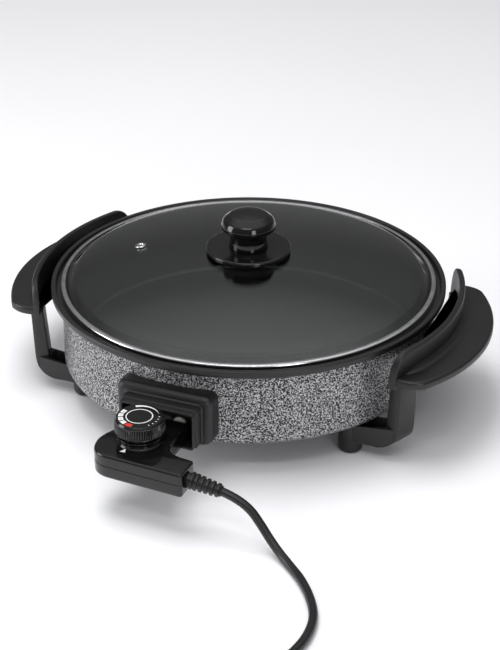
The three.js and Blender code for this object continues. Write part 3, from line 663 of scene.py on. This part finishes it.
radii = [4.2, 12, 24, 40, 56, 72, 88, 104, 120, 134, 148, 160, 168]
upper_face = [(r, dome(r)) for r in radii]
lower_face = [(r, dome(r) - GLASS_T) for r in radii]
edge_out = fillet([
    (168, dome(168)), (176.5, 124.4, 8), (184.2, 119.2, 6), (189, 119.2, 1.2), (189, 115, 1.2),
    (184, 115, 5), (175.6, 121, 8), (168, dome(168) - GLASS_T),
], 7, closed=False)
Shape().lathe(upper_face[:-1] + edge_out + list(reversed(lower_face[:-1])), ROUND).make(
    "glass_dome", "lid", [GLASS], "glass", ["lid_glass"], sharp=60)
band_profile = fillet([
    (184.6, BAND_LOW, 0.5), (BAND_OUT, BAND_LOW, 1.2), (BAND_OUT, BAND_HIGH, 2.4), (185.4, BAND_HIGH, 0.6),
    (185.2, 119.5), (189.3, 119.5), (189.3, 114.7), (184.6, 114.7),
], 6)
Shape().lathe(band_profile, ROUND).make("rim_band", "lid", [CHROME], "steel", ["lid_rim_band"], sharp=60)

vent = centre_of("vent_eyelet")
vent_z = dome(math.hypot(vent.x, vent.y))
eyelet = fillet([
    (2.4, -6.4), (6, -6.4), (6, -5.5), (3.6, -5.5), (3.6, 1.2), (6, 0.9, 0.3), (5.2, 2.1, 0.8),
    (3.2, 2.4, 0.8), (2.4, 1, 0.4),
], 4)
slope = math.asin(math.hypot(vent.x, vent.y) / ((DOME_R ** 2 + 21 ** 2) / 42))
tilt = Matrix.Rotation(slope, 4, Vector((-vent.y, vent.x, 0)))
Shape().lathe(eyelet, 48).moved(Matrix.Translation((vent.x, vent.y, vent_z)) @ tilt).make(
    "vent_grommet", "lid", [CHROME], "steel", ["vent_eyelet"])

seat = dome(20) + 0.3
disc = fillet([
    (0, seat), (DISC_R - 0.5, seat), (DISC_R, seat + 0.6, 0.5), (DISC_R, DISC_TOP, 2.4),
    (DISC_R - 5, DISC_TOP - 0.1, 2), (0, DISC_TOP - 0.5),
], 6, closed=False)
Shape().lathe(disc, 128).make(
    "knob_disc", "lid", [GLOSS], "black_gloss", ["knob_escutcheon"], sharp=50)
cap = [
    (0, KNOB_LOW), (19.5, KNOB_LOW), (19.5, KNOB_LOW + 1), (18.3, 159, 6), (18.6, 165.5, 5), (22.5, 170.2, 4),
    (27.3, 172, 2.2), (27.6, 176, 3), (25.6, 181.6, 8), (18.5, 186.8, 9), (9, KNOB_HIGH - 0.2, 12), (0, KNOB_HIGH),
]
Shape().lathe(fillet(cap, 7, closed=False), 128).make(
    "knob_cap", "lid", [GLOSS], "black_gloss", ["lid_knob"], sharp=60)

# ---- socket shroud ----
shroud_low, shroud_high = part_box("socket_shroud")
BLOCK_X = (shroud_high.x + shroud_low.x) / 2 / MM
HALF_W = (shroud_high.x - shroud_low.x) / 2 / MM
BLOCK_LOW, BLOCK_HIGH = shroud_low.z / MM, shroud_high.z / MM
BLOCK_FRONT, COLLAR_FRONT, BACK_PLATE = -203, shroud_low.y / MM - AXIS.y / MM, -200.6
COLLAR_X, COLLAR_LOW, COLLAR_HIGH = BLOCK_X + 0.8, 44, 84.5
MOUTH_X, MOUTH_HIGH = BLOCK_X + 1.8, 81
BLOCK_ROUND = 7


def frame_ring(x, half_w, low, high, r, y):
    """A rounded rectangle standing at y, or wrapped on the pan wall when y is None."""
    loop = rounded_rect(x - half_w, x + half_w, low, high, r, 8)
    if y is None:
        return [(px, 0.7 - math.sqrt(wall_radius(pz) ** 2 - px * px), pz) for px, pz in loop]
    return [(px, y, pz) for px, pz in loop]


def collar_ring(cut, y):
    """The collar's outline, made smaller by cut."""
    return frame_ring(COLLAR_X, 38.5 - cut, COLLAR_LOW + cut, COLLAR_HIGH - cut, 3.4 - cut * 0.4, y)


shroud_rings = [frame_ring(BLOCK_X, HALF_W, BLOCK_LOW, BLOCK_HIGH, 9, None)]
for k in range(9):
    a = math.pi / 2 * k / 8
    cut = BLOCK_ROUND * (1 - math.cos(a))
    face = BLOCK_FRONT + BLOCK_ROUND * (1 - math.sin(a))
    shroud_rings.append(
        frame_ring(BLOCK_X, HALF_W - cut, BLOCK_LOW + cut * 0.4, BLOCK_HIGH - cut, 9 - cut * 0.7, face))
shroud_rings += [
    frame_ring(COLLAR_X, 39.7, COLLAR_LOW - 0.2, COLLAR_HIGH + 1.2, 4, BLOCK_FRONT),
    collar_ring(0, BLOCK_FRONT - 1.1),
    collar_ring(0, COLLAR_FRONT + 7.2),
    collar_ring(0.2, COLLAR_FRONT + 6.8),
    collar_ring(1, COLLAR_FRONT + 6.4),
    collar_ring(1.2, COLLAR_FRONT + 5.8),
    collar_ring(1.2, COLLAR_FRONT + 0.9),
    collar_ring(1.5, COLLAR_FRONT + 0.25),
    collar_ring(2.1, COLLAR_FRONT),
    frame_ring(MOUTH_X, 35.5, 47.4, MOUTH_HIGH + 0.5, 2.4, COLLAR_FRONT),
    frame_ring(MOUTH_X, 35, 47.8, MOUTH_HIGH, 2, COLLAR_FRONT + 0.6),
    frame_ring(MOUTH_X, 34.8, 48, MOUTH_HIGH - 0.2, 2, BACK_PLATE - 0.6),
    frame_ring(MOUTH_X, 34, 48.8, MOUTH_HIGH - 1, 2, BACK_PLATE),
]
Shape().rings(shroud_rings).make("socket_housing", "pan", [SHROUD_PLASTIC], "black_matt", ["socket_shroud"])

# ---- control ----
NOSE_END, NOSE_HALF_W, NOSE_ROUND, SEAM = -204, 25, 6, 54.5
BODY_LOW, BODY_HIGH, BODY_ROUND = 42, 66, 2.6


def control_plan():
    """The housing seen from above, anticlockwise."""
    n = NOSE_HALF_W
    loop = [(n, NOSE_END), (n, -245)]
    loop += bezier((n, -245), (n + 0.6, -255), (n + 8, -259.5), (42, -261), 14)[1:]
    loop += fillet([(42, -261), (55, -262.4, 2.4), (55, -290, 3.4), (-20, -286)], 7, closed=False)[1:]
    loop += bezier((-20, -286), (-33, -285), (-40, -277), (-41, -262), 16)[1:]
    loop += bezier((-41, -262), (-41.1, -254), (-36, -241), (-28, -232), 14)[1:]
    loop += bezier((-28, -232), (-26, -228.5), (-n, -224), (-n, -218), 8)[1:]
    loop += [(-n, -210), (-n, NOSE_END)]
    return list(reversed(tidy_loop(loop)))


def nose_round(x, y, z):
    """Rounds the far upper edge of the nose."""
    over = z - (BODY_HIGH - NOSE_ROUND)
    if over <= 0:
        return (x, y, z)
    return (x, min(y, NOSE_END - NOSE_ROUND + math.sqrt(max(0, NOSE_ROUND ** 2 - over ** 2))), z)


plan = control_plan()
levels = [(0.45, SEAM + 0.1), (0, SEAM + 0.5), (0, 58), (0, 60), (0, 62)]
for k in range(7):
    a = math.pi / 2 * k / 6
    levels.append((BODY_ROUND * (1 - math.cos(a)), BODY_HIGH - BODY_ROUND * (1 - math.sin(a))))
dial_low, dial_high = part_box("temperature_dial")
DIAL = centre_of("temperature_dial")
DIAL_LOW, DIAL_HIGH = dial_low.z / MM, dial_high.z / MM
upper = Shape().stack(plan, levels, lift=nose_round)
boss = fillet([
    (0, 64), (21.4, 64), (21.4, 66.1, 0.2), (20.2, 67.3, 0.5), (20.2, 68.8, 0.4), (18.4, 69.3, 0.3),
    (18.4, 69.9, 0.3), (20.8, 70.3, 0.4), (20.8, 71.9, 0.5), (18, 72.6, 0.3), (18, 75.6), (0, 75.6),
], 4, closed=False)
upper.lathe(boss, 96, DIAL.x, DIAL.y)
upper.make("housing_upper", "control", [GLOSS], "black_gloss", ["control_upper_shell"])

low_plan = tidy_loop([(x, y) for x, y in plan if y <= -240.5])
lower = Shape().stack(low_plan, edge(BODY_LOW, SEAM - 0.5, 3, 0, 6) + [(0.45, SEAM - 0.1)])
lower.stack(rounded_rect(-NOSE_HALF_W, NOSE_HALF_W, -250, NOSE_END, 0.8, 3),
            edge(48.4, SEAM - 0.5, 1.2, 0, 4) + [(0.45, SEAM - 0.1)])
lower.make("housing_lower", "control", [GLOSS], "black_gloss", ["control_lower_shell"])

for side in ("left", "right"):
    socket = centre_of(f"terminal_socket_{side}")
    hole = Shape().lathe([(2.3, -0.1), (3.1, -0.1), (3.1, 0.12), (2.3, 0.12)], 32)
    hole.lathe([(0, -0.1), (2.3, -0.1), (2.3, 0.06), (0, 0.06)], 32, mat=1)
    hole.moved(Matrix.Translation((socket.x, NOSE_END, socket.z)) @ Matrix.Rotation(-math.pi / 2, 4, "X"))
    hole.make(f"socket_mouth_{side}", "control", [BRASS, NON_STICK], "brass", [f"terminal_socket_{side}"])

# printed pointer on the housing, towards the dial
pointer = Shape().rings([[(-12.3, -274.4, z), (-7.2, -274, z), (-9, -267.6, z)] for z in (65.9, 66.06)])
pointer.make("pointer_mark", "control", [PRINT], "black_gloss", sharp=20)


# ---- dial ----
def knurl(r, z, j):
    """The grip ridges round the dial's skirt."""
    if r < 22 or not DIAL_LOW + 1.4 < z < DIAL_HIGH - 3.2:
        return 0
    return 0.42 if j % 4 in (0, 1) else -0.28


dial_profile = fillet([
    (0, DIAL_LOW + 0.5), (21.4, DIAL_LOW + 0.5), (21.6, DIAL_LOW), (22.7, DIAL_LOW), (23, DIAL_LOW + 0.8, 0.3),
    (22.8, DIAL_LOW + 1.2), (22.7, DIAL_LOW + 1.5), (22.5, DIAL_HIGH - 3.3), (22.4, DIAL_HIGH - 3),
    (22.3, DIAL_HIGH - 1.9, 0.6), (20.9, DIAL_HIGH - 0.1, 0.8), (19.9, DIAL_HIGH - 0.1, 0.2),
    (19.7, DIAL_HIGH - 0.3, 0.2), (0, DIAL_HIGH - 0.3),
], 4, closed=False)
Shape().lathe(dial_profile, 256, DIAL.x, DIAL.y, ripple=knurl).make(
    "dial_cap", "dial", [GLOSS], "black_gloss", ["temperature_dial"], sharp=42)
FACE = DIAL_HIGH - 0.3
PRINT_LOW, PRINT_HIGH = FACE - 0.1, FACE + 0.14


def dial_arc(r0, r1, start, end, taper=False, steps=24):
    """A flat printed band on the dial face; angles count anticlockwise from the camera's right."""
    rims = []
    mid = (r0 + r1) / 2
    for k in range(steps + 1):
        a = math.radians(VIEW_TURN + start + (end - start) * k / steps)
        wide = max((k / steps if taper else 1) * (r1 - r0) / 2, 0.06)
        section = (
            (mid - wide, PRINT_LOW), (mid + wide, PRINT_LOW), (mid + wide, PRINT_HIGH), (mid - wide, PRINT_HIGH),
        )
        rims.append([(DIAL.x + r * math.cos(a), DIAL.y + r * math.sin(a), z) for r, z in section])
    return rims


marks = Shape()
for start in (141, 163, 185, 207):
    marks.rings(dial_arc(14.8, 19.2, start, start + 17, steps=6))
marks.rings(dial_arc(16.4, 19.2, 14, 104, taper=True))
for start in (-60, -46, -32, -18, -4):
    marks.rings(dial_arc(17.2, 18.6, start, start + 2.4, steps=2))
marks.rings(dial_arc(11.5, 12.4, 0, 356.25, steps=95), loop=True)
marks.make("dial_print", "dial", [PRINT], "black_gloss", sharp=20)
index = Shape().rings(dial_arc(14.8, 19.4, -131, -109, steps=6))
index.make("dial_index", "dial", [RED_PRINT], "black_gloss", sharp=20)
NUMBER_R = 17
for number, start in zip(("4", "3", "2", "1"), (149.5, 171.5, 193.5, 215.5)):
    text = bpy.data.curves.new(f"dial_number_{number}", "FONT")
    text.body = number
    text.size = 0.0034
    text.extrude = 0.00004
    text.align_x, text.align_y = "CENTER", "CENTER"
    text.materials.append(GLOSS)
    digit = bpy.data.objects.new(f"dial_number_{number}", text)
    a = math.radians(VIEW_TURN + start)
    digit.location = at(DIAL.x + NUMBER_R * math.cos(a), DIAL.y + NUMBER_R * math.sin(a), FACE + 0.17)
    digit.rotation_euler = (0, 0, a + math.pi / 2)
    bpy.context.scene.collection.objects.link(digit)
    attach(digit, "dial")

# ---- strain relief and cord ----
CORD_R = 4
EXIT = Vector((55.3, -274, 53))
ALONG = (Vector((86.5, -272.4, 47)) - EXIT).normalized()


def along_relief(t):
    """A point of the strain relief's middle line, t mm from the housing."""
    return EXIT + ALONG * t


sleeve = [(4.3, -5.5), (6.2, -5.5), (6.2, 2.1), (8.1, 2.3, 0.3), (8.1, 4.5, 0.3), (6.4, 4.9)]
for i in range(5):
    t, r = 5.6 + i * 5.15, 7.9 - i * 0.35
    sleeve += [(r - 1.7, t - 0.1, 0.2), (r, t + 0.5, 0.5), (r, t + 3.1, 0.5), (r - 1.7, t + 3.7, 0.2)]
sleeve += [(5.4, 30.8, 0.3), (5, 31.4, 0.3), (4.3, 31.4)]
turn = Vector((0, 0, 1)).rotation_difference(ALONG).to_matrix().to_4x4()
Shape().lathe(fillet(sleeve, 3), 48).moved(Matrix.Translation(EXIT) @ turn).make(
    "relief_sleeve", "control", [CORD], "rubber", ["strain_relief"], sharp=45)

COIL = centre_of("cord_coil")
# the middle line of the cord: out of the relief and down to the floor
route = [
    along_relief(-4),
    along_relief(14),
    along_relief(31.4),
    (102.3, -273.5, 42.6),
    (114.5, -274.6, 35.4),
    (124.5, -277, 25.6),
    (135, -281, 15.2),
    (147, -287.5, 7.6),
    (160, -297, 4.5),
    (176, -312, 4.3),
    (192, -333, 4.3),
    (203, -356, 4.3),
    (206, -382, 4.3),
    (201, -410, 4.3),
    (192, -435, 4.4),
    (185.2, -455, 4.9),
]


def eased(t):
    """A smooth step from 0 to 1."""
    t = max(0, min(1, t))
    return t * t * (3 - 2 * t)


def round_coil(angle, r, z):
    """A point about the middle of the coil."""
    a = math.radians(angle)
    return (COIL.x + r * math.cos(a), COIL.y + r * math.sin(a), z)


# a flat spiral of 18 points a turn, from a radius of 61 mm down to 36 mm, then up onto itself
for k in range(1, 48):
    turned = k * 20 - 16
    r = 61.2 - 9.2 * eased(turned / 200) - max(0, turned - 200) / 360 * 8.2
    route.append(round_coil(180 + turned, r, 5.6 + 8.7 * eased((turned - 840) / 70)))
# over the turns and out to the plug
tail = Vector((202.6, centre_of("plug_body").y, 8.6))
outward = (
    (44, 35.6, 14.3), (64, 36.4, 14.4), (84, 39, 14.5), (104, 43.4, 14.5), (124, 49.6, 14.5),
    (144, 57.2, 14.5), (161, 65, 14.1), (176, 72, 12.2),
)
route += [round_coil(angle, r, z) for angle, r, z in outward]
route += [
    (tail.x - 33.6, tail.y + 53, 8.4),
    (tail.x - 34.4, tail.y + 38, 5.6),
    (tail.x - 31.4, tail.y + 22, 5),
    (tail.x - 22.5, tail.y + 9, 6),
    (tail.x - 10.5, tail.y + 1.5, 7.8),
    tail,
    tail + Vector((7, 0, 0)),
]
route = [Vector(p) for p in route]


def smooth_path(points):
    """Catmull-Rom points through the route, about 4 mm apart."""
    out = []
    ends = [points[0] * 2 - points[1]] + points + [points[-1] * 2 - points[-2]]
    for i in range(1, len(ends) - 2):
        p0, p1, p2, p3 = ends[i - 1:i + 3]
        steps = max(2, round((p2 - p1).length / 4))
        for k in range(steps):
            t = k / steps
            out.append(0.5 * (2 * p1 + (p2 - p0) * t + (2 * p0 - 5 * p1 + 4 * p2 - p3) * t * t
                              + (3 * p1 - p0 - 3 * p2 + p3) * t ** 3))
    out.append(points[-1])
    return out


line = [AXIS + p * MM for p in smooth_path(route)]
curve = bpy.data.curves.new("cord", "CURVE")
curve.dimensions = "3D"
curve.bevel_depth = CORD_R * MM
curve.bevel_resolution = 5
curve.use_fill_caps = True
spline = curve.splines.new("POLY")
spline.points.add(len(line) - 1)
for point, place in zip(spline.points, line):
    point.co = (*place, 1)
spline.use_smooth = True
curve.materials.append(CORD)
cord = bpy.data.objects.new("cord", curve)
bpy.context.scene.collection.objects.link(cord)
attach(cord, "control")
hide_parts("power_cord", "cord_coil")

# plug with a tapered tail, and the strap round the coil
plug_low, plug_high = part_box("plug_body")
py = tail.y
px1 = plug_high.x / MM - AXIS.x / MM
grip = fillet([
    (214, py - 9), (218, py - 11.4), (238, py - 12.6, 3), (px1, py - 11, 2.5), (px1, py + 11, 2.5),
    (238, py + 12.6, 3), (218, py + 11.4), (214, py + 9),
], 5)
plug = Shape().stack(grip, edge(0.3, 16.9, 3, 3, 5))
collars = [(0, 0), (4.6, 0), (4.9, 0.4)]
for i in range(4):
    valley, ridge, step = 4.9 + i * 0.25, 5.7 + i * 0.1, i * 3.2
    collars += [(valley, 1 + step), (ridge, 1.4 + step), (ridge, 3.2 + step), (valley, 3.6 + step)]
collars += [(6, 14), (0, 14)]
since = len(plug.points)
plug.lathe(collars, 40)
plug.moved(Matrix.Translation(tail) @ Matrix.Rotation(math.pi / 2, 4, "Y"), since)
plug_piece = plug.make("mains_plug", "control", [CORD], "rubber", ["plug_body"])
tie_low, tie_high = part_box("cord_tie")
t0, t1 = (tie_low - AXIS) / MM, (tie_high - AXIS) / MM
TIE_EDGE = 0.3
loops = []
for y, cut in ((t0.y, TIE_EDGE), (t0.y + TIE_EDGE, 0), (t1.y - TIE_EDGE, 0), (t1.y, TIE_EDGE)):
    outline = rounded_rect(t0.x + cut, t1.x - cut, t0.z + cut, t1.z - cut, 3)
    loops.append([(px, y, pz) for px, pz in outline])
hole = rounded_rect(t0.x + 1.2, t1.x - 1.2, t0.z + 1.1, t1.z - 1.1, 2.4)
for y in (t1.y, t1.y - TIE_EDGE, t0.y + TIE_EDGE, t0.y):
    loops.append([(px, y, pz) for px, pz in hole])
tie_piece = Shape().rings(loops, loop=True).make("coil_strap", "control", [PLASTIC], "rubber", ["cord_tie"])

# ---- carried-over pieces ----
finishes = {
    "heating_element": SHEATH, "probe_sleeve": CAST, "knob_gasket": SILICONE,
    "fixed_contact_blade": BRASS, "moving_contact_blade": BRASS, "dial_spindle": BRASS,
    "plug_blade_1": BRASS, "plug_blade_2": BRASS, "terminal_insulator_left": CERAMIC,
    "terminal_insulator_right": CERAMIC,
}
for name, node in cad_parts.items():
    if node.hide_render:
        continue
    node.data.materials.clear()
    node.data.materials.append(finishes.get(name, PLATED))
    node.data.shade_smooth()
    node.data.set_sharp_from_angle(angle=math.radians(32))
